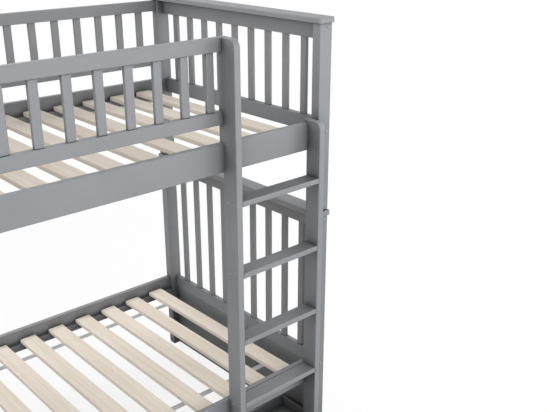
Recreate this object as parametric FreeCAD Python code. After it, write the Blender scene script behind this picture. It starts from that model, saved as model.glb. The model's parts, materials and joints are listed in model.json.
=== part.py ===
import os

import FreeCAD
import Part

# Bunk bed in grey painted pine: two single beds that stack on pins, a fixed ladder on the
# front, guard rails round the upper bed and a low open storage tray under the lower one.
# Millimetres, +Z up, floor at Z = 0. +X is the ladder end, -Y is the ladder side.

Vector = FreeCAD.Vector

# Whole bed, measured over the outer faces of the corner posts
bed_length = 2030.0
bed_depth = 1073.0

# Corner posts and the caps that close them
post_x = 61.0
post_y = 40.0
lower_post_top = 1023.0
lower_cap_thickness = 22.0
upper_post_top = 1770.0
upper_cap_thickness = 21.0
cap_overhang = 8.0
glide_thickness = 6.0        # under the lower posts
spacer_thickness = 4.0       # under the upper posts
glide_inset = 3.0

# Long side rails and the ledgers that carry the slats
rail_thickness = 22.0
rail_inset = 18.0            # from the post's outer face to the centre line of rails and guards
rail_height = 104.0
upper_rail_top = 1413.3
lower_rail_top = 393.0
lower_rail_setback = 0.7     # keeps the lower rail clear of the ladder when the beds part
ledger_width = 20.0
ledger_height = 30.0

# End boards
end_rail_thickness = 22.0
end_rail_height = 62.0
end_rail_inset = 18.0        # from the post's outer face to the rail's centre line
upper_end_bottom_rail_top = 1412.5
lower_end_mid_rail_top = 390.5
panel_thickness = 12.0
panel_inset = 20.0           # from the post's outer face to the panel's centre line
panel_floor_gap = 1.5

# Spindles, the same stock in the end boards and the guards
spindle_width = 30.0
spindle_thickness = 14.0
end_spindle_count = 9
end_spindle_pitch = 103.1
back_guard_spindle_count = 18
front_guard_spindle_count = 14
front_guard_pitch = 101.2
front_guard_end_spindle = 462.9

# Guard rails of the upper bed
guard_top_rail = (1721.0, 1767.5)
guard_bottom_rail = (1477.5, 1523.5)

# Ladder
stile_width = 26.0
stile_depth = 64.8
left_stile_x = 508.4
right_stile_x = 904.8
left_stile_top = guard_top_rail[1]
right_stile_top = 1426.0
stile_corner = 30.0
stile_edge_radius = 3.5
stile_strip = 4.0            # thickness of the strip behind a stile, between the side rails
strip_gap = 1.5              # above the lower side rail
rung_thickness = 20.7
rung_spacing = 273.7
top_rung_top = 1212.8
rung_count = 5
rung_back_gap = 0.0

# Slats and the webbing that links them
slat_width = 70.0
slat_thickness = 18.0
slat_pitch = 136.6
slat_count = 13
first_slat_centre = 853.0
slat_end_gap = 7.5
lower_deck_top = 351.0
upper_deck_top = 1371.0
webbing_width = 25.0
webbing_thickness = 1.6
webbing_y = 362.0

# Storage tray on the floor under the lower bed
tray_board = 12.0
tray_end_gap = 10.0
tray_front_y = -493.0         # just behind the front posts
tray_back_y = -316.0
tray_floor_top = 47.0
tray_height = 91.5
tray_divider_count = 3
tray_foot_size = 40.0

# Fasteners
end_bolt_inset = 16.0        # from the outer edge of an end rail
rail_bolt_drops = (0.27, 0.73)  # share of the side rail's height, from its top
bolt_shank_radius = 3.0
bolt_head_radius = 8.5
bolt_head_height = 2.0
bolt_length = 82.0
pin_radius = 5.0
pin_engagement = 40.0
rung_screw_offset = 16.0     # of each screw from the middle of the stile
screw_radius = 2.0
screw_head_radius = 6.0
screw_head_height = 2.0
screw_length = 58.0
hole_clearance = 0.06
edge_radius = 2.0

# Worked out from the sizes above
half_length = bed_length / 2
half_depth = bed_depth / 2
post_inner_x = half_length - post_x
post_inner_y = half_depth - post_y
end_rail_mid = half_length - end_rail_inset
end_rail_inner = end_rail_mid - end_rail_thickness / 2
end_rail_outer = end_rail_mid + end_rail_thickness / 2
panel_mid = half_length - panel_inset
panel_inner = panel_mid - panel_thickness / 2
rail_mid_y = half_depth - rail_inset
rail_outer_y = rail_mid_y + rail_thickness / 2
rail_inner_y = rail_mid_y - rail_thickness / 2
lower_cap_top = lower_post_top + lower_cap_thickness
upper_post_bottom = lower_cap_top + spacer_thickness
ladder_front_y = -rail_outer_y - stile_depth
cap_half_depth = half_depth + cap_overhang
centre_shift = (-ladder_front_y - cap_half_depth) / 2  # middle of the outline to Y = 0
ends = {"right": 1, "left": -1}
sides = {"front": -1, "back": 1}


def block(x_range, y_range, z_range):
    """A box between the two values of each range, whichever way round they are given."""
    low = Vector(min(x_range), min(y_range), min(z_range))
    high = Vector(max(x_range), max(y_range), max(z_range))
    size = high - low
    return Part.makeBox(size.x, size.y, size.z, low)


def eased(shape, radius=edge_radius):
    """Sanded corners: every edge rounded by the same small radius."""
    return shape.makeFillet(radius, shape.Edges)


def board(x_range, y_range, z_range, radius=edge_radius):
    return eased(block(x_range, y_range, z_range), radius)


def rod(start, direction, length, radius):
    return Part.makeCylinder(radius, length, start, direction)


def save(name, solids):
    """Writes one sub-part, with the middle of the whole bed's outline brought to Y = 0."""
    shape = Part.makeCompound(solids) if len(solids) > 1 else solids[0]
    shape = shape.copy()
    shape.translate(Vector(0, centre_shift, 0))
    shape.exportStep(os.path.join("parts", name + ".step"))


# ---- fastener positions -------------------------------------------------------------


def end_bolts(heights):
    """Bolts along Y, through each post into the end rails: (x, side, z)."""
    places = []
    for end in ends.values():
        for side in sides.values():
            for z in heights:
                places.append((end * end_rail_mid, side, z))
    return places


def rail_bolts(rail_top):
    """Bolts along X, two through each post into the end of a side rail: (end, y, z)."""
    places = []
    for end in ends.values():
        for side in sides.values():
            for drop in rail_bolt_drops:
                places.append((end, side * rail_mid_y, rail_top - rail_height * drop))
    return places


def bolt_solids(end_places, rail_places):
    solids = []
    for x, side, z in end_places:
        inward = Vector(0, -side, 0)
        face = Vector(x, side * half_depth, z)
        solids.append(bolt(face, inward))
    for end, y, z in rail_places:
        inward = Vector(-end, 0, 0)
        face = Vector(end * half_length, y, z)
        solids.append(bolt(face, inward))
    return solids


def bolt(face, inward):
    """A round cover head on the face with its shank going inward."""
    head = rod(face - inward * bolt_head_height, inward, bolt_head_height, bolt_head_radius)
    rim = [edge for edge in head.Edges if is_outer_rim(edge, face, inward)]
    head = head.makeFillet(bolt_head_height * 0.6, rim)
    shank = rod(face, inward, bolt_length, bolt_shank_radius)
    return head.fuse(shank).removeSplitter()


def is_outer_rim(edge, face, inward):
    if not isinstance(edge.Curve, Part.Circle):
        return False
    return (edge.Curve.Center - face).dot(inward) < -bolt_head_height / 2


def bolt_holes(end_places, rail_places):
    radius = bolt_shank_radius + hole_clearance
    holes = []
    for x, side, z in end_places:
        inward = Vector(0, -side, 0)
        holes.append(rod(Vector(x, side * half_depth, z), inward, bolt_length + 1, radius))
    for end, y, z in rail_places:
        inward = Vector(-end, 0, 0)
        holes.append(rod(Vector(end * half_length, y, z), inward, bolt_length + 1, radius))
    return holes


def drilled(shape, holes):
    """The shape less those holes whose boxes touch it."""
    near = [hole for hole in holes if hole.BoundBox.intersect(shape.BoundBox)]
    for hole in near:
        shape = shape.cut(hole)
    return shape


# ---- corner posts, caps and glides --------------------------------------------------


def post_box(end, side, bottom, top):
    x_range = (end * post_inner_x, end * half_length)
    y_range = (side * post_inner_y, side * half_depth)
    return board(x_range, y_range, (bottom, top), 3.0)


def post_centre(end, side):
    return end * (half_length - post_x / 2), side * (half_depth - post_y / 2)


def corners():
    for end_name, end in ends.items():
        for side_name, side in sides.items():
            yield side_name + "_" + end_name, end, side


def pin_hole(end, side):
    x, y = post_centre(end, side)
    bottom = lower_cap_top - pin_engagement
    length = 2 * pin_engagement + 1
    return rod(Vector(x, y, bottom - 0.5), Vector(0, 0, 1), length, pin_radius + hole_clearance)


def stack_pin(end, side):
    x, y = post_centre(end, side)
    bottom = lower_cap_top - pin_engagement
    pin = rod(Vector(x, y, bottom), Vector(0, 0, 1), 2 * pin_engagement, pin_radius)
    rims = [edge for edge in pin.Edges if isinstance(edge.Curve, Part.Circle)]
    return pin.makeChamfer(1.2, rims)


def make_posts(holes_lower, holes_upper):
    for name, end, side in corners():
        pin_bore = pin_hole(end, side)
        lower = post_box(end, side, glide_thickness, lower_post_top)
        save("lower_post_" + name, [drilled(lower, holes_lower + [pin_bore])])
        upper = post_box(end, side, upper_post_bottom, upper_post_top)
        save("upper_post_" + name, [drilled(upper, holes_upper + [pin_bore])])


def make_glides():
    """Black feet under the posts of both beds."""
    lower = []
    upper = []
    for _, end, side in corners():
        x_range = (end * (post_inner_x + glide_inset), end * (half_length - glide_inset))
        y_range = (side * (post_inner_y + glide_inset), side * (half_depth - glide_inset))
        lower.append(board(x_range, y_range, (0, glide_thickness), 1.0))
        foot = board(x_range, y_range, (lower_cap_top, upper_post_bottom), 1.0)
        upper.append(foot.cut(pin_hole(end, side)))
    save("lower_foot_glides", lower)
    save("upper_foot_glides", upper)


def cap_solid(end, bottom, thickness):
    """A flat cap over an end board, its long top edges and its corners well rounded."""
    x_range = (end * (post_inner_x - cap_overhang), end * (half_length + cap_overhang))
    cap = block(x_range, (-cap_half_depth, cap_half_depth), (bottom, bottom + thickness))
    upright = [edge for edge in cap.Edges if edge.BoundBox.ZLength > thickness / 2]
    cap = cap.makeFillet(9.0, upright)
    top_rim = [edge for edge in cap.Edges if edge.BoundBox.ZMin > bottom + thickness - 0.1]
    cap = cap.makeFillet(6.0, top_rim)
    under_rim = [edge for edge in cap.Edges if edge.BoundBox.ZMax < bottom + 0.1]
    return cap.makeFillet(2.0, under_rim)


def make_caps():
    for name, end in ends.items():
        pins = [pin_hole(end, side) for side in sides.values()]
        lower = drilled(cap_solid(end, lower_post_top, lower_cap_thickness), pins)
        save("lower_end_cap_" + name, [lower])
        save("upper_end_cap_" + name, [cap_solid(end, upper_post_top, upper_cap_thickness)])


# ---- end boards ---------------------------------------------------------------------


def end_rail(end, top):
    x_range = (end * end_rail_inner, end * end_rail_outer)
    return board(x_range, (-post_inner_y, post_inner_y), (top - end_rail_height, top))


def end_panel(end):
    """The solid board that closes the end under the lower bed, down to the floor."""
    x_range = (end * panel_inner, end * (panel_inner + panel_thickness))
    z_range = (panel_floor_gap, lower_end_mid_rail_top - end_rail_height)
    return board(x_range, (-post_inner_y, post_inner_y), z_range, 1.0)


def spaced(count, low, high):
    """Centres of equal pieces with equal gaps between two faces."""
    gap = (high - low - count * spindle_width) / (count + 1)
    pitch = gap + spindle_width
    return [low + gap + spindle_width / 2 + pitch * k for k in range(count)]


def end_spindles(end, lower_rail_top_z, upper_rail_top_z):
    """Spindles about the middle of an end, from the lower rail to the underside of the top one."""
    half = spindle_thickness / 2
    z_range = (lower_rail_top_z, upper_rail_top_z - end_rail_height)
    x_range = (end * (end_rail_mid - half), end * (end_rail_mid + half))
    solids = []
    for k in range(end_spindle_count):
        y = end_spindle_pitch * (k - (end_spindle_count - 1) / 2)
        y_range = (y - spindle_width / 2, y + spindle_width / 2)
        solids.append(board(x_range, y_range, z_range))
    return solids


def make_end_boards(holes_lower, holes_upper):
    for name, end in ends.items():
        upper_top_rail = end_rail(end, upper_post_top)
        save("upper_end_top_rail_" + name, [drilled(upper_top_rail, holes_upper)])
        upper_low_rail = end_rail(end, upper_end_bottom_rail_top)
        save("upper_end_bottom_rail_" + name, [drilled(upper_low_rail, holes_upper)])
        upper_spindles = end_spindles(end, upper_end_bottom_rail_top, upper_post_top)
        save("upper_end_spindles_" + name, upper_spindles)

        lower_top_rail = end_rail(end, lower_post_top)
        save("lower_end_top_rail_" + name, [drilled(lower_top_rail, holes_lower)])
        mid_rail = end_rail(end, lower_end_mid_rail_top)
        save("lower_end_mid_rail_" + name, [drilled(mid_rail, holes_lower)])
        lower_spindles = end_spindles(end, lower_end_mid_rail_top, lower_post_top)
        save("lower_end_spindles_" + name, lower_spindles)
        save("lower_end_panel_" + name, [end_panel(end)])


# ---- side rails, ledgers and slats --------------------------------------------------


def make_side_rails(holes_lower, holes_upper):
    for name, side in sides.items():
        y_range = (side * rail_inner_y, side * rail_outer_y)
        z_range = (upper_rail_top - rail_height, upper_rail_top)
        upper = board((-post_inner_x, post_inner_x), y_range, z_range)
        save("upper_side_rail_" + name, [drilled(upper, holes_upper)])
        y_range = (side * rail_inner_y, side * (rail_outer_y - lower_rail_setback))
        z_range = (lower_rail_top - rail_height, lower_rail_top)
        lower = board((-post_inner_x, post_inner_x), y_range, z_range)
        save("lower_side_rail_" + name, [drilled(lower, holes_lower)])


def make_ledgers():
    for bed, deck_top in (("lower", lower_deck_top), ("upper", upper_deck_top)):
        top = deck_top - slat_thickness
        solids = []
        for side in sides.values():
            y_range = (side * (rail_inner_y - ledger_width), side * rail_inner_y)
            x_range = (-post_inner_x + 8, post_inner_x - 8)
            solids.append(board(x_range, y_range, (top - ledger_height, top), 1.5))
        save(bed + "_slat_ledgers", solids)


def make_slats():
    """Loose slats that rest on the ledgers, linked underneath by two webbing straps."""
    end_y = rail_inner_y - slat_end_gap
    for bed, deck_top in (("lower", lower_deck_top), ("upper", upper_deck_top)):
        slats = []
        for k in range(slat_count):
            x = first_slat_centre - slat_pitch * k
            x_range = (x - slat_width / 2, x + slat_width / 2)
            z_range = (deck_top - slat_thickness, deck_top)
            slats.append(board(x_range, (-end_y, end_y), z_range))
        save(bed + "_slats", slats)
        straps = []
        for side in sides.values():
            y = side * webbing_y
            y_range = (y - webbing_width / 2, y + webbing_width / 2)
            last = first_slat_centre - slat_pitch * (slat_count - 1)
            x_range = (last - slat_width / 2 + 5, first_slat_centre + slat_width / 2 - 5)
            under = deck_top - slat_thickness
            straps.append(block(x_range, y_range, (under - webbing_thickness, under)))
        save(bed + "_slat_webbing", straps)


# ---- guard rails --------------------------------------------------------------------


def guard(name, side, x_range, spindle_centres):
    y_range = (side * rail_inner_y, side * rail_outer_y)
    save(name + "_guard_top_rail", [board(x_range, y_range, guard_top_rail)])
    save(name + "_guard_bottom_rail", [board(x_range, y_range, guard_bottom_rail)])
    half = spindle_thickness / 2
    y_range = (side * (rail_mid_y - half), side * (rail_mid_y + half))
    z_range = (guard_bottom_rail[1], guard_top_rail[0])
    solids = []
    for x in spindle_centres:
        solids.append(board((x - spindle_width / 2, x + spindle_width / 2), y_range, z_range))
    save(name + "_guard_spindles", solids)


def make_guards():
    back = spaced(back_guard_spindle_count, -post_inner_x, post_inner_x)
    guard("back", 1, (-post_inner_x, post_inner_x), back)
    front = []
    for k in range(front_guard_spindle_count):
        front.append(front_guard_end_spindle - front_guard_pitch * k)
    guard("front", -1, (-post_inner_x, left_stile_x), front)


# ---- ladder -------------------------------------------------------------------------


def stile(x, top):
    """An upright with a rounded top front corner, a block that hooks over the side rail and
    a strip that stiffens its back where it stands free between the side rails."""
    x_range = (x, x + stile_width)
    bar = block(x_range, (ladder_front_y, -rail_outer_y), (0, top))
    corner = [edge for edge in bar.Edges if is_top_front(edge, top)]
    bar = bar.makeFillet(stile_corner, corner)
    front = [edge for edge in bar.Edges if is_front_outline(edge)]
    bar = bar.makeFillet(stile_edge_radius, front)
    hook = block(x_range, (-rail_outer_y, -rail_inner_y), (upper_rail_top, top))
    z_range = (lower_rail_top + strip_gap, upper_rail_top - rail_height)
    strip = block(x_range, (-rail_outer_y, -rail_outer_y + stile_strip), z_range)
    return bar, hook, strip


def is_top_front(edge, top):
    box = edge.BoundBox
    return box.YMax < ladder_front_y + 0.1 and box.ZMin > top - 0.1


def is_front_outline(edge):
    """True for the upright edges at the front and the arcs of the rounded corner."""
    box = edge.BoundBox
    return box.XLength < 0.1 and box.YMax < ladder_front_y + stile_corner + 0.1


def rung_tops():
    return [top_rung_top - rung_spacing * k for k in range(rung_count)]


def screw_places():
    """Two screws at each end of each rung, on the outer faces of the stiles."""
    places = []
    middle_y = (ladder_front_y - rail_outer_y) / 2
    for top in rung_tops():
        for offset in (-rung_screw_offset, rung_screw_offset):
            at = (middle_y + offset, top - rung_thickness / 2)
            places.append((Vector(left_stile_x, *at), Vector(1, 0, 0)))
            places.append((Vector(right_stile_x + stile_width, *at), Vector(-1, 0, 0)))
    return places


def make_ladder():
    holes = []
    screws = []
    for start, inward in screw_places():
        holes.append(rod(start, inward, screw_length + 1, screw_radius + hole_clearance))
        head = rod(start - inward * screw_head_height, inward, screw_head_height, screw_head_radius)
        shank = rod(start, inward, screw_length, screw_radius)
        screws.append(head.fuse(shank).removeSplitter())
    save("ladder_screws", screws)
    for name, x, top in (("left", left_stile_x, left_stile_top),
                         ("right", right_stile_x, right_stile_top)):
        bar, hook, strip = stile(x, top)
        save("ladder_stile_" + name, [drilled(bar, holes), hook, strip])
    x_range = (left_stile_x + stile_width, right_stile_x)
    y_range = (ladder_front_y, -rail_outer_y - rung_back_gap)
    for number, top in enumerate(rung_tops(), start=1):
        rung = board(x_range, y_range, (top - rung_thickness, top), 3.0)
        save("ladder_rung_" + str(number), [drilled(rung, holes)])


# ---- storage tray -------------------------------------------------------------------


def make_tray():
    """A shallow open tray along the front, standing on feet between the end panels."""
    side_outer = panel_inner - tray_end_gap
    side_inner = side_outer - tray_board
    floor_bottom = tray_floor_top - tray_board
    y_front = (tray_front_y, tray_front_y + tray_board)
    y_back = (tray_back_y - tray_board, tray_back_y)
    y_between = (y_front[1], y_back[0])
    floor = board((-side_outer, side_outer), (tray_front_y, tray_back_y),
                  (floor_bottom, tray_floor_top), 1.0)
    save("tray_floor", [floor])
    walls = []
    for y_range in (y_front, y_back):
        walls.append(board((-side_outer, side_outer), y_range, (tray_floor_top, tray_height), 1.0))
    save("tray_long_boards", walls)
    dividers = []
    spacing = 2 * side_inner / (tray_divider_count + 1)
    for k in range(tray_divider_count):
        x = -side_inner + spacing * (k + 1)
        x_range = (x - tray_board / 2, x + tray_board / 2)
        dividers.append(board(x_range, y_between, (tray_floor_top, tray_height), 1.0))
    for end in ends.values():
        x_range = (end * side_inner, end * side_outer)
        dividers.append(board(x_range, y_between, (tray_floor_top, tray_height), 1.0))
    save("tray_cross_boards", dividers)
    feet = []
    for x in (-side_outer + 60, 0, side_outer - 60):
        for y in (tray_front_y + 30, tray_back_y - 30):
            x_range = (x - tray_foot_size / 2, x + tray_foot_size / 2)
            y_range = (y - tray_foot_size / 2, y + tray_foot_size / 2)
            feet.append(board(x_range, y_range, (0, floor_bottom), 1.5))
    for end in ends.values():
        for y in (tray_front_y + 30, tray_back_y - 30):
            x_range = (end * side_outer, end * panel_inner)
            y_range = (y - tray_foot_size / 2, y + tray_foot_size / 2)
            feet.append(board(x_range, y_range, (floor_bottom - 10, tray_floor_top), 1.0))
    save("tray_feet", feet)


def main():
    os.makedirs("parts", exist_ok=True)
    rise = end_bolt_inset - end_rail_height
    lower_heights = (lower_post_top - end_bolt_inset, lower_end_mid_rail_top + rise)
    upper_heights = (upper_post_top - end_bolt_inset, upper_end_bottom_rail_top + rise)
    lower_places = (end_bolts(lower_heights), rail_bolts(lower_rail_top))
    upper_places = (end_bolts(upper_heights), rail_bolts(upper_rail_top))
    lower_holes = bolt_holes(*lower_places)
    upper_holes = bolt_holes(*upper_places)
    save("lower_bolts", bolt_solids(*lower_places))
    save("upper_bolts", bolt_solids(*upper_places))
    save("stack_pins", [stack_pin(end, side) for _, end, side in corners()])
    make_posts(lower_holes, upper_holes)
    make_glides()
    make_caps()
    make_end_boards(lower_holes, upper_holes)
    make_side_rails(lower_holes, upper_holes)
    make_ledgers()
    make_slats()
    make_guards()
    make_ladder()
    make_tray()


main()
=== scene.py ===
import json
import math
import bmesh
import bpy
import numpy as np
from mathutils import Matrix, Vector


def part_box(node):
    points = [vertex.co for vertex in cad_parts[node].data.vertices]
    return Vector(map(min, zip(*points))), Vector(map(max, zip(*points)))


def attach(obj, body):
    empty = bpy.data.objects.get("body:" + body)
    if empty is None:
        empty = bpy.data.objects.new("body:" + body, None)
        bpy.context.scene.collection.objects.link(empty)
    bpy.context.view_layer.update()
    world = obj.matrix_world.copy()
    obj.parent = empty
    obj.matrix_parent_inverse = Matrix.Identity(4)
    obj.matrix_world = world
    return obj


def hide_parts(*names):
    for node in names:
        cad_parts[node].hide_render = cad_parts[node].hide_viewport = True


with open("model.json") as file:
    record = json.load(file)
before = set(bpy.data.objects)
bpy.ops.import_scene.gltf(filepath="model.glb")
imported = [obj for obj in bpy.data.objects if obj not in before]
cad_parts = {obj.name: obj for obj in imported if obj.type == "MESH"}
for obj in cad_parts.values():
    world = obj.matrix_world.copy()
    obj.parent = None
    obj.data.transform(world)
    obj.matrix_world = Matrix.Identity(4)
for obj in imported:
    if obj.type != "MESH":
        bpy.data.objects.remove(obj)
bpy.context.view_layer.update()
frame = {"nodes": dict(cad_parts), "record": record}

mm = 0.001
perMetre = 1000.0        # turns a size in mm into repeats in a metre
nodes = frame["nodes"]
scene = bpy.context.scene
print("frame loaded:", len(nodes), "nodes")


# a CAD node's lowest and highest corner in mm, to a hundredth
def cornersOf(node):
    return [np.round(np.array(corner, float) / mm, 2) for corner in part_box(node)]


# the sRGB curve: straight near black, a power above it
def toLinear(hexColour):
    parts = [int(hexColour[i:i + 2], 16) / 255 for i in (1, 3, 5)]
    return tuple(c / 12.92 if c <= 0.04045 else ((c + 0.055) / 1.055) ** 2.4 for c in parts) + (1,)


# one node with its settings; inputs are given by name or number, as a value or as a socket to link,
# and stops are the places and colours of a colour ramp
def addNode(tree, kind, settings=None, inputs=None, stops=()):
    node = tree.nodes.new(kind)
    for name, value in (settings or {}).items():
        setattr(node, name, value)
    for name, value in (inputs or {}).items():
        if isinstance(value, bpy.types.NodeSocket):
            tree.links.new(value, node.inputs[name])
        else:
            node.inputs[name].default_value = value
    for _ in stops[2:]:
        node.color_ramp.elements.new(0.5)
    for number, (position, colour) in enumerate(stops):
        node.color_ramp.elements[number].position = position
        node.color_ramp.elements[number].color = toLinear(colour)
    return node


def startMaterial(name):
    material = bpy.data.materials.new(name)
    material.use_nodes = True
    tree = material.node_tree
    shader = tree.nodes["Principled BSDF"]
    place = addNode(tree, "ShaderNodeTexCoord").outputs["Object"]
    return material, tree, shader, place


# repeats in a metre across the grain, and along it on the axis on which the board runs
def grainScale(axis, width, length):
    scale = [perMetre / width] * 3
    scale[axis] = perMetre / length
    return scale


# Painted shade: the colour is darkened in corners and narrow gaps, by how closed in they are, for the
# shade that falls there:
# 1 on an open face, falling to the given floor deep in a joint.
shade = {"samples": 6, "deepest": 0.3}       # deepest: the openness that counts as fully closed in


def cornerShade(tree, reach, floor):
    openness = addNode(tree, "ShaderNodeAmbientOcclusion", {"samples": shade["samples"]},
                       {"Distance": reach * mm})
    share = addNode(tree, "ShaderNodeMapRange", None,
                    {"Value": openness.outputs["AO"], "From Min": shade["deepest"], "From Max": 1.0,
                     "To Min": floor, "To Max": 1.0})
    return share.outputs[0]


# Satin acrylic on planed pine, sprayed and lightly sanded: the grain still reads as very faint long
# streaks and a soft ripple, knots as faint dips, and the film itself has a fine orange peel.
paint = {
    "tones": [(0.30, "#898B8E"), (0.50, "#8C8E91"), (0.70, "#8F9194")],
    "grainWidth": 5.0, "grainLength": 160.0,     # mm
    "grainDetail": 3.0, "grainWander": 0.6,
    "streakShare": 0.22,                         # the rest of the tone is the mottle
    "mottleSize": 120.0, "mottleDetail": 4.0,    # mm
    "mottleRange": (0.3, 0.7),                   # where the mottle runs from satin to dull
    "roughness": (0.46, 0.58),
    "peelSize": 2.2, "peelDetail": 2.0,          # mm, coarser than the real 0.5 mm so that it shows
    "knotSpacing": 520.0, "knotSqueeze": 2.4,    # mm along the grain, and how much closer across it
    "knotRadius": 12.0, "knotDepth": 0.07,       # mm, share of the tone
    # painted shade in corners and seams: how far each reaches, and the share of the colour left where it
    # is deepest
    "cornerShadeReach": 260.0, "cornerShadeFloor": 0.30,   # mm, share of the colour left
    "seamShadeReach": 24.0, "seamShadeFloor": 0.6,         # mm, share of the colour left
    "rippleHeight": 0.15, "rippleStrength": 0.1,
    "filmHeight": 0.08, "filmStrength": 0.12,
    "ior": 1.45,
}


def satinPaintOnPine(axis):
    material, tree, shader, place = startMaterial("satinPaintOnPine" + "XYZ"[axis])
    streakScale = grainScale(axis, paint["grainWidth"], paint["grainLength"])
    stretched = addNode(tree, "ShaderNodeMapping", None, {"Vector": place, "Scale": streakScale})
    streaks = addNode(tree, "ShaderNodeTexNoise", None,
                      {"Vector": stretched.outputs[0], "Scale": 1.0, "Detail": paint["grainDetail"],
                       "Distortion": paint["grainWander"]})
    mottle = addNode(tree, "ShaderNodeTexNoise", None,
                     {"Vector": place, "Scale": perMetre / paint["mottleSize"],
                      "Detail": paint["mottleDetail"]})
    peel = addNode(tree, "ShaderNodeTexNoise", None,
                   {"Vector": place, "Scale": perMetre / paint["peelSize"],
                    "Detail": paint["peelDetail"]})
    knotScale = grainScale(axis, paint["knotSpacing"] / paint["knotSqueeze"], paint["knotSpacing"])
    knotPlace = addNode(tree, "ShaderNodeMapping", None, {"Vector": place, "Scale": knotScale})
    knots = addNode(tree, "ShaderNodeTexVoronoi", None, {"Vector": knotPlace.outputs[0], "Scale": 1.0})
    knotEdge = 2 * paint["knotRadius"] / paint["knotSpacing"]
    knot = addNode(tree, "ShaderNodeMapRange", {"interpolation_type": "SMOOTHSTEP"},
                   {"Value": knots.outputs["Distance"], "From Min": 0.0, "From Max": knotEdge,
                    "To Min": 1.0, "To Max": 0.0})
    blended = addNode(tree, "ShaderNodeMix", {"data_type": "FLOAT"},
                      {0: paint["streakShare"], 2: mottle.outputs["Fac"], 3: streaks.outputs["Fac"]})
    sunk = addNode(tree, "ShaderNodeMath", {"operation": "MULTIPLY_ADD"},
                   {0: knot.outputs[0], 1: -paint["knotDepth"], 2: blended.outputs[0]})
    tone = addNode(tree, "ShaderNodeValToRGB", None, {"Fac": sunk.outputs[0]}, paint["tones"])
    # painted shade: the tone is darkened in corners and seams, where shade falls
    corners = addNode(tree, "ShaderNodeMath", {"operation": "MULTIPLY"},
                      {0: cornerShade(tree, paint["cornerShadeReach"], paint["cornerShadeFloor"]),
                       1: cornerShade(tree, paint["seamShadeReach"], paint["seamShadeFloor"])})
    colour = addNode(tree, "ShaderNodeVectorMath", {"operation": "SCALE"},
                     {0: tone.outputs["Color"], "Scale": corners.outputs[0]})
    satin, dull = paint["roughness"]
    low, high = paint["mottleRange"]
    gloss = addNode(tree, "ShaderNodeMapRange", None,
                    {"Value": mottle.outputs["Fac"], "From Min": low, "From Max": high,
                     "To Min": satin, "To Max": dull})
    ripple = addNode(tree, "ShaderNodeBump", None,
                     {"Strength": paint["rippleStrength"], "Distance": paint["rippleHeight"] * mm,
                      "Height": streaks.outputs["Fac"]})
    film = addNode(tree, "ShaderNodeBump", None,
                   {"Strength": paint["filmStrength"], "Distance": paint["filmHeight"] * mm,
                    "Height": peel.outputs["Fac"], "Normal": ripple.outputs["Normal"]})
    tree.links.new(colour.outputs[0], shader.inputs["Base Color"])
    tree.links.new(gloss.outputs[0], shader.inputs["Roughness"])
    tree.links.new(film.outputs["Normal"], shader.inputs["Normal"])
    shader.inputs["IOR"].default_value = paint["ior"]
    return material


# Planed pine left bare: straight grain with narrow brown late wood, a few small knots, and each
# slat its own tone. A dull surface with no film.
pine = {
    "tones": [(0.36, "#E9DCCC"), (0.50, "#EDE2D4"), (0.62, "#F0E6D9")],     # late wood to pale
    "knotTone": "#D6BFA6",
    "ringWidth": 9.0, "ringLength": 420.0,       # mm
    "ringScale": 0.6, "ringDetail": 2.0, "ringWander": 0.9,
    "fibreWidth": 1.6, "fibreLength": 60.0, "fibreDetail": 2.0,             # mm
    "fibreRange": (0.3, 0.7), "fibreShade": (0.985, 1.008),
    "fibreHeight": 0.15, "fibreStrength": 0.35,  # mm
    "slatWidth": 70.0, "slats": 13,              # mm, on each deck
    "deckStep": 0.5, "deckShift": 37.0,          # m, bands of height; numbers added for each metre up
    "ownShift": 3.0,                             # m, how far off a slat's own stretch may lie
    "ownShade": (0.965, 1.01),
    "knotSpacing": 420.0, "knotSqueeze": 2.0,    # mm along the grain, and how much closer across it
    "knotRadius": 5.0,                           # mm
    "knotCore": 0.004, "knotShare": 0.8,         # share of the spacing, share of the knot's tone there
    "roughness": 0.72, "ior": 1.45,
}


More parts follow.
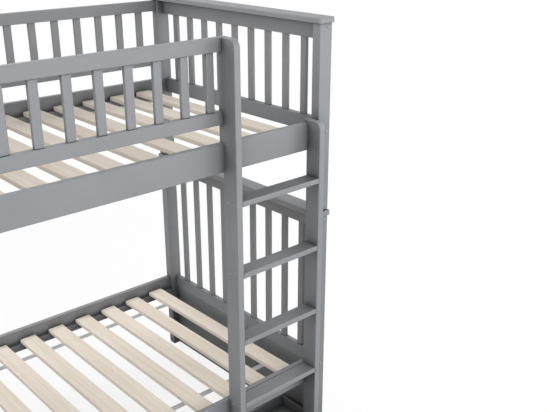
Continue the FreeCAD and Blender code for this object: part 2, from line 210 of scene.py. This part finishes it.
# A slat's number is its distance from the first, in pitches, rounded; it picks the slat's own tone
# and its own stretch of the pattern.
def planedPine():
    material, tree, shader, place = startMaterial("planedPineSlat")
    deckLow, deckHigh = cornersOf("lower_slats")
    firstSlat = deckHigh[0] - pine["slatWidth"] / 2
    slatPitch = (deckHigh[0] - deckLow[0] - pine["slatWidth"]) / (pine["slats"] - 1)
    split = addNode(tree, "ShaderNodeSeparateXYZ", None, {"Vector": place})
    counted = addNode(tree, "ShaderNodeMath", {"operation": "MULTIPLY_ADD"},
                      {0: split.outputs["X"], 1: perMetre / slatPitch, 2: 0.5 - firstSlat / slatPitch})
    slat = addNode(tree, "ShaderNodeMath", {"operation": "FLOOR"}, {0: counted.outputs[0]})
    deck = addNode(tree, "ShaderNodeMath", {"operation": "SNAP"},
                   {0: split.outputs["Z"], 1: pine["deckStep"]})
    own = addNode(tree, "ShaderNodeMath", {"operation": "MULTIPLY_ADD"},
                  {0: deck.outputs[0], 1: pine["deckShift"], 2: slat.outputs[0]})
    chance = addNode(tree, "ShaderNodeTexWhiteNoise", {"noise_dimensions": "1D"}, {"W": own.outputs[0]})
    shifted = addNode(tree, "ShaderNodeVectorMath", {"operation": "MULTIPLY_ADD"},
                      {0: chance.outputs["Color"], 1: [pine["ownShift"]] * 3, 2: place})
    ringPlace = addNode(tree, "ShaderNodeMapping", None,
                        {"Vector": shifted.outputs[0],
                         "Scale": grainScale(1, pine["ringWidth"], pine["ringLength"])})
    rings = addNode(tree, "ShaderNodeTexNoise", None,
                    {"Vector": ringPlace.outputs[0], "Scale": pine["ringScale"],
                     "Detail": pine["ringDetail"], "Distortion": pine["ringWander"]})
    fibrePlace = addNode(tree, "ShaderNodeMapping", None,
                         {"Vector": shifted.outputs[0],
                          "Scale": grainScale(1, pine["fibreWidth"], pine["fibreLength"])})
    fibres = addNode(tree, "ShaderNodeTexNoise", None,
                     {"Vector": fibrePlace.outputs[0], "Scale": 1.0, "Detail": pine["fibreDetail"]})
    knotScale = grainScale(1, pine["knotSpacing"] / pine["knotSqueeze"], pine["knotSpacing"])
    knotPlace = addNode(tree, "ShaderNodeMapping", None,
                        {"Vector": shifted.outputs[0], "Scale": knotScale})
    knots = addNode(tree, "ShaderNodeTexVoronoi", {"voronoi_dimensions": "2D"},
                    {"Vector": knotPlace.outputs[0], "Scale": 1.0})
    knotEdge = 2 * pine["knotRadius"] / pine["knotSpacing"]
    knot = addNode(tree, "ShaderNodeMapRange", {"interpolation_type": "SMOOTHSTEP"},
                   {"Value": knots.outputs["Distance"], "From Min": pine["knotCore"],
                    "From Max": knotEdge, "To Min": pine["knotShare"], "To Max": 0.0})
    ringTone = addNode(tree, "ShaderNodeValToRGB", None, {"Fac": rings.outputs["Fac"]}, pine["tones"])
    thin, thick = pine["fibreRange"]
    dark, light = pine["fibreShade"]
    fibreShade = addNode(tree, "ShaderNodeMapRange", None,
                         {"Value": fibres.outputs["Fac"], "From Min": thin, "From Max": thick,
                          "To Min": dark, "To Max": light})
    darkest, lightest = pine["ownShade"]
    ownShade = addNode(tree, "ShaderNodeMapRange", None,
                       {"Value": chance.outputs["Value"], "To Min": darkest, "To Max": lightest})
    bothShades = addNode(tree, "ShaderNodeMath", {"operation": "MULTIPLY"},
                         {0: fibreShade.outputs[0], 1: ownShade.outputs[0]})
    shaded = addNode(tree, "ShaderNodeVectorMath", {"operation": "SCALE"},
                     {0: ringTone.outputs["Color"], "Scale": bothShades.outputs[0]})
    knotted = addNode(tree, "ShaderNodeMix", {"data_type": "RGBA"},
                      {0: knot.outputs[0], 6: shaded.outputs[0], 7: toLinear(pine["knotTone"])})
    grain = addNode(tree, "ShaderNodeBump", None,
                    {"Strength": pine["fibreStrength"], "Distance": pine["fibreHeight"] * mm,
                     "Height": fibres.outputs["Fac"]})
    tree.links.new(knotted.outputs[2], shader.inputs["Base Color"])
    tree.links.new(grain.outputs["Normal"], shader.inputs["Normal"])
    shader.inputs["Roughness"].default_value = pine["roughness"]
    shader.inputs["IOR"].default_value = pine["ior"]
    return material


# Polyester webbing in plain weave: the threads go over and under each other, with a dull sheen.
webbing = {
    # painted shade: the gaps between the threads get the darker grey, for the shade that falls in them
    "tones": [(0.0, "#A3A6A9"), (0.5, "#CFD1D2")],       # gap to thread
    "threadPitch": 2.4, "wander": 0.4,                   # mm
    "waveTurn": 20.0,                                    # radians in a metre, of a wave at scale 1
    "relief": 0.3, "reliefStrength": 0.6,                # mm
    "roughness": 0.85, "sheen": 0.2,
}


# two waves at right angles, multiplied: a full turn of each wave covers two threads
def wovenPolyester():
    material, tree, shader, place = startMaterial("wovenPolyesterWebbing")
    scale = perMetre / webbing["threadPitch"] / webbing["waveTurn"] * math.pi
    warp = addNode(tree, "ShaderNodeTexWave", {"bands_direction": "X"},
                   {"Vector": place, "Scale": scale, "Distortion": webbing["wander"]})
    weft = addNode(tree, "ShaderNodeTexWave", {"bands_direction": "Y"},
                   {"Vector": place, "Scale": scale, "Distortion": webbing["wander"]})
    woven = addNode(tree, "ShaderNodeMath", {"operation": "MULTIPLY"},
                    {0: warp.outputs["Fac"], 1: weft.outputs["Fac"]})
    tone = addNode(tree, "ShaderNodeValToRGB", None, {"Fac": woven.outputs[0]}, webbing["tones"])
    relief = addNode(tree, "ShaderNodeBump", None,
                     {"Strength": webbing["reliefStrength"], "Distance": webbing["relief"] * mm,
                      "Height": woven.outputs[0]})
    tree.links.new(tone.outputs["Color"], shader.inputs["Base Color"])
    tree.links.new(relief.outputs["Normal"], shader.inputs["Normal"])
    shader.inputs["Roughness"].default_value = webbing["roughness"]
    shader.inputs["Sheen Weight"].default_value = webbing["sheen"]
    return material


# Moulded thermoplastic: an even colour with a spark-eroded texture that softens the gloss. The bolt
# covers are grey ABS, the foot glides black nylon.
moulded = {
    "grit": 0.8, "gritDetail": 3.0, "relief": 0.1, "reliefStrength": 0.3,   # mm
    "greyTones": [(0.35, "#8A8C8F"), (0.65, "#9A9C9F")], "greyRoughness": 0.45,
    "blackTones": [(0.35, "#151617"), (0.65, "#202224")], "blackRoughness": 0.5,
}


def mouldedPlastic(name, tones, roughness):
    material, tree, shader, place = startMaterial(name)
    speck = addNode(tree, "ShaderNodeTexNoise", None,
                    {"Vector": place, "Scale": perMetre / moulded["grit"],
                     "Detail": moulded["gritDetail"]})
    tone = addNode(tree, "ShaderNodeValToRGB", None, {"Fac": speck.outputs["Fac"]}, tones)
    relief = addNode(tree, "ShaderNodeBump", None,
                     {"Strength": moulded["reliefStrength"], "Distance": moulded["relief"] * mm,
                      "Height": speck.outputs["Fac"]})
    tree.links.new(tone.outputs["Color"], shader.inputs["Base Color"])
    tree.links.new(relief.outputs["Normal"], shader.inputs["Normal"])
    shader.inputs["Roughness"].default_value = roughness
    return material


# Zinc-plated steel: a cloudy passivated film over a bright metal.
zinc = {
    "tones": [(0.3, "#75787D"), (0.7, "#9A9EA3")],
    "cloudSize": 3.0, "cloudDetail": 4.0,        # mm
    "roughness": (0.28, 0.5),
}


def zincPlatedSteel():
    material, tree, shader, place = startMaterial("zincPlatedSteel")
    cloud = addNode(tree, "ShaderNodeTexNoise", None,
                    {"Vector": place, "Scale": perMetre / zinc["cloudSize"],
                     "Detail": zinc["cloudDetail"]})
    tone = addNode(tree, "ShaderNodeValToRGB", None, {"Fac": cloud.outputs["Fac"]}, zinc["tones"])
    bright, dull = zinc["roughness"]
    gloss = addNode(tree, "ShaderNodeMapRange", None,
                    {"Value": cloud.outputs["Fac"], "To Min": bright, "To Max": dull})
    tree.links.new(tone.outputs["Color"], shader.inputs["Base Color"])
    tree.links.new(gloss.outputs[0], shader.inputs["Roughness"])
    shader.inputs["Metallic"].default_value = 1.0
    return material


paints = [satinPaintOnPine(axis) for axis in range(3)]
finishes = {
    "slat_pine": planedPine(),
    "webbing": wovenPolyester(),
    "bolt_covers": mouldedPlastic("mouldedGreyAbs", moulded["greyTones"], moulded["greyRoughness"]),
    "black_plastic": mouldedPlastic("mouldedBlackNylon", moulded["blackTones"],
                                    moulded["blackRoughness"]),
    "steel": zincPlatedSteel(),
}
slots = {part["node"]: part["material_slot"] for part in frame["record"]["subparts"]}


# which way a painted board's grain runs: 0, 1 or 2 for X, Y or Z
def grainAxis(name):
    if "post" in name or "stile" in name or "spindles" in name:
        return 2
    if "_end_" in name or name == "tray_cross_boards":
        return 1
    return 0


for name, thing in nodes.items():
    finish = finishes.get(slots[name]) or paints[grainAxis(name)]
    thing.data.materials.clear()
    thing.data.materials.append(finish)
print("finishes on", len(nodes), "nodes")


# A turned part standing on +Z of its own frame: ring k lies at radius[k] and height[k] round the
# axis, both ends are closed by a fan, and the rings of its crown sink by the given recess.
def turned(profile, segments, crown=0, recess=None):
    radius, height = (np.array(column, float)[:, None] for column in zip(*profile))
    turn = np.arange(segments) * 2 * math.pi / segments
    x, y = radius * np.cos(turn), radius * np.sin(turn)
    z = np.repeat(height, segments, axis=1)
    sunk = recess(x, y) if recess else np.zeros_like(z)
    z[:crown] -= sunk[:crown]
    rings = np.stack([x, y, z], axis=2).reshape(-1, 3)
    firstPole = [0, 0, height[0, 0] - (sunk[0].max() if crown else 0)]
    points = np.vstack([rings, [firstPole, [0, 0, height[-1, 0]]]])
    ring = np.arange(segments)
    after = np.roll(ring, -1)
    starts = np.arange(len(profile) - 1)[:, None] * segments
    sides = np.stack([starts + ring, starts + after, starts + segments + after,
                      starts + segments + ring], axis=2).reshape(-1, 4)
    top, bottom = len(rings), len(rings) + 1
    last = (len(profile) - 1) * segments
    fans = [(a, b, top) for a, b in zip(ring, after)]
    fans += [(last + a, last + b, bottom) for a, b in zip(ring, after)]
    return points, [tuple(map(int, face)) for face in sides] + [tuple(map(int, face)) for face in fans]


# Copies of one part. Each has its place and its outward direction, to which the part's +Z is
# turned; its +Y stays up and its +X goes sideways, so a point is place + x side + y up + z outward.
def spread(part, copies):
    points, faces = part
    places, outward = (np.array(column, float) for column in zip(*copies))
    up = np.broadcast_to([0.0, 0.0, 1.0], outward.shape)
    side = np.cross(up, outward)
    moved = (places[:, None] + points[:, 0][:, None] * side[:, None]
             + points[:, 1][:, None] * up[:, None] + points[:, 2][:, None] * outward[:, None])
    shift = len(points)
    allFaces = [tuple(corner + shift * k for corner in face) for k in range(len(copies)) for face in faces]
    return moved.reshape(-1, 3) * mm, allFaces


sharpAngle = 38.0        # degrees, past which an edge stays crisp


def makePiece(name, surface, finish, body, replaced=()):
    points, faces = surface
    mesh = bpy.data.meshes.new(name)
    mesh.from_pydata(points.tolist(), [], faces)
    shape = bmesh.new()
    shape.from_mesh(mesh)
    bmesh.ops.recalc_face_normals(shape, faces=shape.faces)
    shape.to_mesh(mesh)
    shape.free()
    mesh.polygons.foreach_set("use_smooth", [True] * len(mesh.polygons))
    mesh.set_sharp_from_angle(angle=math.radians(sharpAngle))
    mesh.materials.append(finish)
    piece = bpy.data.objects.new(name, mesh)
    scene.collection.objects.link(piece)
    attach(piece, body)
    if replaced:
        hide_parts(*replaced)
    return piece


# Tread screws: a shallow domed head with a cross recess, and a shank with a point. A pair goes
# through each stile into each end of every tread.
screw = {
    "head": 6.0, "rise": 2.0, "edge": 0.35, "fall": 0.6,                    # mm, share of the rise
    "rings": [0.4, 0.9, 1.4, 1.9, 2.4, 2.9, 3.5, 4.3, 5.0, 5.6],            # mm, radii on the crown
    "shank": 2.0, "length": 58.0, "point": 6.0, "tip": 0.4,                 # mm
    "slotHalf": 0.7, "slotReach": 2.9, "slotDepth": 1.1, "slotEnd": 0.5,    # mm
    "segments": 32,
    "treads": 5, "offset": 16.0,                 # mm of each screw from the tread's middle line
}
slotSlope = 1.5          # half widths of a slot at its lip


# The cross: full depth near the middle line of either arm, rising to the lip at slotSlope half
# widths from it, and closed at slotReach along it.
def crossRecess(x, y):
    near, far = np.minimum(abs(x), abs(y)), np.maximum(abs(x), abs(y))
    arm = np.clip((screw["slotHalf"] * slotSlope - near) / screw["slotHalf"], 0, 1)
    end = np.clip((screw["slotReach"] - far) / screw["slotEnd"], 0, 1)
    return screw["slotDepth"] * arm * end


# the crown's height falls as the square of the share of the head's radius
screwProfile = [(r, screw["rise"] * (1 - screw["fall"] * (r / screw["head"]) ** 2))
                for r in screw["rings"]]
screwProfile += [(screw["head"], screw["edge"]), (screw["head"], 0.0), (screw["shank"], 0.0),
                 (screw["shank"], screw["point"] - screw["length"]), (screw["tip"], -screw["length"])]
leftFace = cornersOf("ladder_stile_left")[0][0]
rightFace = cornersOf("ladder_stile_right")[1][0]
screws = []
for number in range(1, screw["treads"] + 1):
    low, high = cornersOf("ladder_rung_" + str(number))
    middle = (low + high) / 2
    for y in (middle[1] - screw["offset"], middle[1] + screw["offset"]):
        screws.append([(leftFace, y, middle[2]), (-1, 0, 0)])
        screws.append([(rightFace, y, middle[2]), (1, 0, 0)])
screwPart = turned(screwProfile, screw["segments"], len(screw["rings"]), crossRecess)
makePiece("treadScrews", spread(screwPart, screws), finishes["steel"], "upper_bunk",
          ["ladder_screws"])

# The bed's bolts: at each corner two go through the post into the end rails, near their outer
# edges, and two along the bed through the post into the side rail, at shares of its height.
bolt = {
    "endInset": 16.0, "sideShares": (0.27, 0.73),        # mm, from the rail's top
    "endRails": {"lower": ("lower_end_top_rail_right", "lower_end_mid_rail_right"),
                 "upper": ("upper_end_top_rail_right", "upper_end_bottom_rail_right")},
}
corners = [(end, side) for end in (1, -1) for side in (1, -1)]              # right, left; back, front
sideNames = {1: "back", -1: "front"}
post = {side: cornersOf("lower_post_" + name + "_right") for side, name in sideNames.items()}
rail = {side: cornersOf("upper_side_rail_" + name) for side, name in sideNames.items()}
railMiddle = {side: (low[1] + high[1]) / 2 for side, (low, high) in rail.items()}
outerY = {1: post[1][1][1], -1: post[-1][0][1]}          # outer faces of the posts
innerY = {1: rail[1][0][1], -1: rail[-1][1][1]}          # inner faces of the side rails
postInnerX, postOuterX = post[1][0][0], post[1][1][0]


# heights of the end bolts and of the side bolts of one bed
def boltHeights(level):
    topRail, lowRail = (cornersOf(node) for node in bolt["endRails"][level])
    low, high = cornersOf(level + "_side_rail_front")
    sideHeights = [high[2] - share * (high[2] - low[2]) for share in bolt["sideShares"]]
    return [topRail[1][2] - bolt["endInset"], lowRail[0][2] + bolt["endInset"]], sideHeights


# Bolt covers: a snapped-in cap with a low dome, a groove and a raised rim, on the bolt's shank.
cover = {
    "dome": [(0.8, 2.0), (2.0, 1.95), (3.2, 1.8), (4.3, 1.55), (5.2, 1.2)], # mm, radius and height
    "groove": [(5.7, 0.55), (6.4, 0.5)],
    "rim": [(6.8, 1.25), (7.5, 1.4), (8.1, 1.1), (8.5, 0.5), (8.5, 0.0)],
    "shank": 3.0, "length": 82.0, "point": 2.0, "tip": 0.6,                 # mm
    "segments": 32,
}
coverProfile = cover["dome"] + cover["groove"] + cover["rim"]
coverProfile += [(cover["shank"], 0.0), (cover["shank"], cover["point"] - cover["length"]),
                 (cover["tip"], -cover["length"])]
coverPart = turned(coverProfile, cover["segments"])
endRailLow, endRailHigh = cornersOf("lower_end_top_rail_right")
endRailX = (endRailLow[0] + endRailHigh[0]) / 2
for level in ("lower", "upper"):
    endHeights, sideHeights = boltHeights(level)
    covers = []
    for end, side in corners:
        covers += [[(end * endRailX, outerY[side], z), (0, side, 0)] for z in endHeights]
        covers += [[(end * postOuterX, railMiddle[side], z), (end, 0, 0)] for z in sideHeights]
    makePiece(level + "BoltCovers", spread(coverPart, covers), finishes["bolt_covers"],
              level + "_bunk", [level + "_bolts"])

# Barrel nuts: where a side bolt ends, a slotted steel barrel shows on the side rail's inner face.
nut = {
    "radius": 5.0, "proud": 0.6, "edge": 0.3, "rings": [0.5, 1.5, 2.5, 3.5, 4.5],   # mm
    "slotHalf": 0.7, "slotDepth": 0.5,           # mm
    "segments": 24,
    "fromPost": 31.0,                            # mm
}


# one straight slot across the barrel, with a lip as in the cross
def slotRecess(x, y):
    return nut["slotDepth"] * np.clip((nut["slotHalf"] * slotSlope - abs(y)) / nut["slotHalf"], 0, 1)


nutProfile = [(r, nut["proud"]) for r in nut["rings"]]
nutProfile += [(nut["radius"], nut["proud"] - nut["edge"]), (nut["radius"], 0.0)]
nutPart = turned(nutProfile, nut["segments"], len(nut["rings"]), slotRecess)
for level in ("lower", "upper"):
    sideHeights = boltHeights(level)[1]
    nuts = [[(end * (postInnerX - nut["fromPost"]), innerY[side], z), (0, -side, 0)]
            for end, side in corners for z in sideHeights]
    makePiece(level + "BarrelNuts", spread(nutPart, nuts), finishes["steel"],
              level + "_bunk")
print("fastener heads made")


# the photograph's viewpoint: it was found from the bed's own straight edges
cameraFacts = {
    "place": (-1.0625, -2.4962, 2.1540),         # m
    "tilt": 69.080, "turn": -42.166,             # degrees
    "lens": 50.98, "sensor": 36.0,               # mm
    "reach": 60.0,                               # m
}
cameraData = bpy.data.cameras.new("photoCamera")
cameraData.lens = cameraFacts["lens"]
cameraData.sensor_width = cameraFacts["sensor"]
cameraData.clip_end = cameraFacts["reach"]
camera = bpy.data.objects.new("photoCamera", cameraData)
camera.location = cameraFacts["place"]
camera.rotation_euler = (math.radians(cameraFacts["tilt"]), 0, math.radians(cameraFacts["turn"]))
scene.collection.objects.link(camera)
scene.camera = camera

# A ring of soft lamps round the bed, in metres and watts; the wide ones at the sides keep the -X
# faces from going black.
lamps = {
    "frontSoftbox": {"place": (0.3, -4.0, 2.0), "aim": (0.3, 0, 1.0), "size": 3.0, "power": 104},
    "frontLeftSoftbox": {"place": (-3.8, -3.6, 1.8), "aim": (0.3, 0, 1.0), "size": 2.0, "power": 42},
    "frontRightSoftbox": {"place": (4.2, -3.4, 1.8), "aim": (0.3, 0, 1.0), "size": 2.0, "power": 78},
    "leftSoftbox": {"place": (-4.6, 0.2, 2.4), "aim": (0, 0, 1.0), "size": 3.0, "power": 172},
    "rightSoftbox": {"place": (4.8, 0.2, 2.6), "aim": (0, 0, 1.0), "size": 3.0, "power": 150},
    "backTopSoftbox": {"place": (0.2, 3.0, 4.4), "aim": (0.2, 0, 1.0), "size": 3.0, "power": 108},
    "frontTopSoftbox": {"place": (0.2, -2.4, 4.6), "aim": (0.2, 0, 1.0), "size": 3.5, "power": 20},
}
for name, facts in lamps.items():
    lampData = bpy.data.lights.new(name, "AREA")
    lampData.shape = "SQUARE"
    lampData.size = facts["size"]
    lampData.energy = facts["power"]
    lamp = bpy.data.objects.new(name, lampData)
    lamp.location = facts["place"]
    away = np.array(facts["place"]) - np.array(facts["aim"])
    flat = math.hypot(away[0], away[1])
    lamp.rotation_euler = (math.atan2(flat, away[2]), 0, math.atan2(away[1], away[0]) + math.pi / 2)
    scene.collection.objects.link(lamp)
print("camera and", len(lamps), "lamps set")


# 1 for the rays that may see the white studio: those of the camera, of gloss and of glass
def studioRays(tree):
    rays = addNode(tree, "ShaderNodeLightPath").outputs
    direct = addNode(tree, "ShaderNodeMath", {"operation": "MAXIMUM"},
                     {0: rays["Is Camera Ray"], 1: rays["Is Transmission Ray"]})
    seen = addNode(tree, "ShaderNodeMath", {"operation": "MAXIMUM"},
                   {0: direct.outputs[0], 1: rays["Is Glossy Ray"]})
    return seen.outputs[0]


# a white world for those rays, which gives no light of its own
backdrop = {"shown": 1.0, "fill": 0.0, "white": (1, 1, 1, 1)}
world = bpy.data.worlds.new("studioWorld")
scene.world = world
world.use_nodes = True
tree = world.node_tree
background = tree.nodes["Background"]
strength = addNode(tree, "ShaderNodeMapRange", None,
                   {"Value": studioRays(tree), "To Min": backdrop["fill"], "To Max": backdrop["shown"]})
background.inputs["Color"].default_value = backdrop["white"]
tree.links.new(strength.outputs[0], background.inputs["Strength"])

# A pale floor that those rays see almost white. The bed's soft shadow stays in it near the bed, and
# it fades to plain white further out; for bounced light it is a mid grey.
floorFacts = {
    "size": 30.0,                                # m
    "grey": "#5E5E5E", "pale": "#F4F4F4", "roughness": 0.9,
    "nearWhite": 0.86, "fadeFrom": 1.6, "fadeTo": 4.5,   # share of plain white, m
}
half = floorFacts["size"] / 2
floorMesh = bpy.data.meshes.new("studioFloor")
floorMesh.from_pydata([(-half, -half, 0), (half, -half, 0), (half, half, 0), (-half, half, 0)],
                      [], [(0, 1, 2, 3)])
floor = bpy.data.objects.new("studioFloor", floorMesh)
scene.collection.objects.link(floor)
floorPaint, tree, shader, place = startMaterial("paleStudioFloor")
seen = studioRays(tree)
floorColour = addNode(tree, "ShaderNodeMix", {"data_type": "RGBA"},
                      {0: seen, 6: toLinear(floorFacts["grey"]), 7: toLinear(floorFacts["pale"])})
tree.links.new(floorColour.outputs[2], shader.inputs["Base Color"])
shader.inputs["Roughness"].default_value = floorFacts["roughness"]
distance = addNode(tree, "ShaderNodeVectorMath", {"operation": "LENGTH"}, {0: place})
fade = addNode(tree, "ShaderNodeMapRange", {"interpolation_type": "SMOOTHSTEP"},
               {"Value": distance.outputs["Value"], "From Min": floorFacts["fadeFrom"],
                "From Max": floorFacts["fadeTo"], "To Min": floorFacts["nearWhite"], "To Max": 1.0})
share = addNode(tree, "ShaderNodeMath", {"operation": "MULTIPLY"}, {0: seen, 1: fade.outputs[0]})
white = addNode(tree, "ShaderNodeEmission", None, {"Color": backdrop["white"], "Strength": 1.0})
mixed = addNode(tree, "ShaderNodeMixShader", None,
                {0: share.outputs[0], 1: shader.outputs[0], 2: white.outputs[0]})
tree.links.new(mixed.outputs[0], tree.nodes["Material Output"].inputs["Surface"])
floorMesh.materials.append(floorPaint)

scene.view_settings.view_transform = "Standard"
print("stage set")
